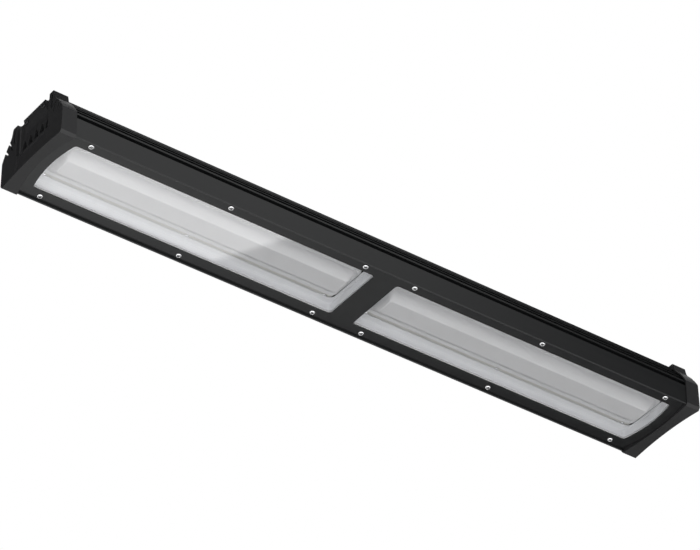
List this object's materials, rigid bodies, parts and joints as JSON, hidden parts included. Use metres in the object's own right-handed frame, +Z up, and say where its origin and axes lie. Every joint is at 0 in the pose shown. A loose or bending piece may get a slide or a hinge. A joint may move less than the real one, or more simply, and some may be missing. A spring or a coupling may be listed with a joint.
{
  "type": "linear high-bay light fixture",
  "caption": "Long black finned light fixture with arch-ended windows of clear glass over opal diffusers, side T-slots and moulded, vented end caps.",
  "frame": {"origin": "under the middle of the body, level with the lowest corners of the end caps", "axes": "+X along the length towards the cap with the cable gland, +Y across the width, +Z up, away from the light face, which looks down"},
  "size_m": [0.778, 0.1076, 0.0631],
  "materials": {
    "body_coat": "black powder coat, satin",
    "cap_plastic": "black moulded plastic, satin",
    "plate_coat": "black powder coat, satin",
    "screw_steel": "zinc plated",
    "cap_screw_steel": "black oxide",
    "clear_glass": "clear, polished",
    "seal_silicone": "matt silicone",
    "tray_white": "white, semi-gloss",
    "diffuser_opal": "opal, satin",
    "board_white": "white solder mask",
    "led_resin": "yellow phosphor in a white package",
    "pad_grey": "matt",
    "gland_plastic": "black polyamide",
    "driver_metal": "plain sheet",
    "circuit_board": "green solder mask",
    "winding": "yellow tape over windings",
    "capacitor_sleeve": "dark sleeve",
    "device_black": "moulded packages on a bar",
    "lead_sheath": "sheathed wire",
    "terminal_plastic": "white polyamide"
  },
  "bodies": {
    "root": {"board_screws": "screw_steel", "cap_gasket_left": "seal_silicone", "cap_gasket_right": "seal_silicone", "cap_screws_left": "cap_screw_steel", "cap_screws_right": "cap_screw_steel", "cover_glass_left": "clear_glass", "cover_glass_right": "clear_glass", "diffuser_left": "diffuser_opal", "diffuser_right": "diffuser_opal", "driver_board": "circuit_board", "driver_capacitors": "capacitor_sleeve", "driver_case": "driver_metal", "driver_choke": "winding", "driver_lid": "driver_metal", "driver_lid_screws": "screw_steel", "driver_power_devices": "device_black", "driver_transformer": "winding", "end_cap_left": "cap_plastic", "end_cap_right": "cap_plastic", "frame_screws": "screw_steel", "gland_body": "gland_plastic", "gland_dome_nut": "gland_plastic", "gland_lock_nut": "gland_plastic", "gland_seal": "seal_silicone", "glass_seal_left": "seal_silicone", "glass_seal_right": "seal_silicone", "heat_sink": "body_coat", "led_board_left": "board_white", "led_board_right": "board_white", "led_packages_left": "led_resin", "led_packages_right": "led_resin", "mains_leads": "lead_sheath", "output_leads": "lead_sheath", "reflector_tray_left": "tray_white", "reflector_tray_right": "tray_white", "terminal_block": "terminal_plastic", "terminal_screws": "screw_steel", "thermal_pad_left": "pad_grey", "thermal_pad_right": "pad_grey", "window_frame": "plate_coat"}
  },
  "joints": []
}
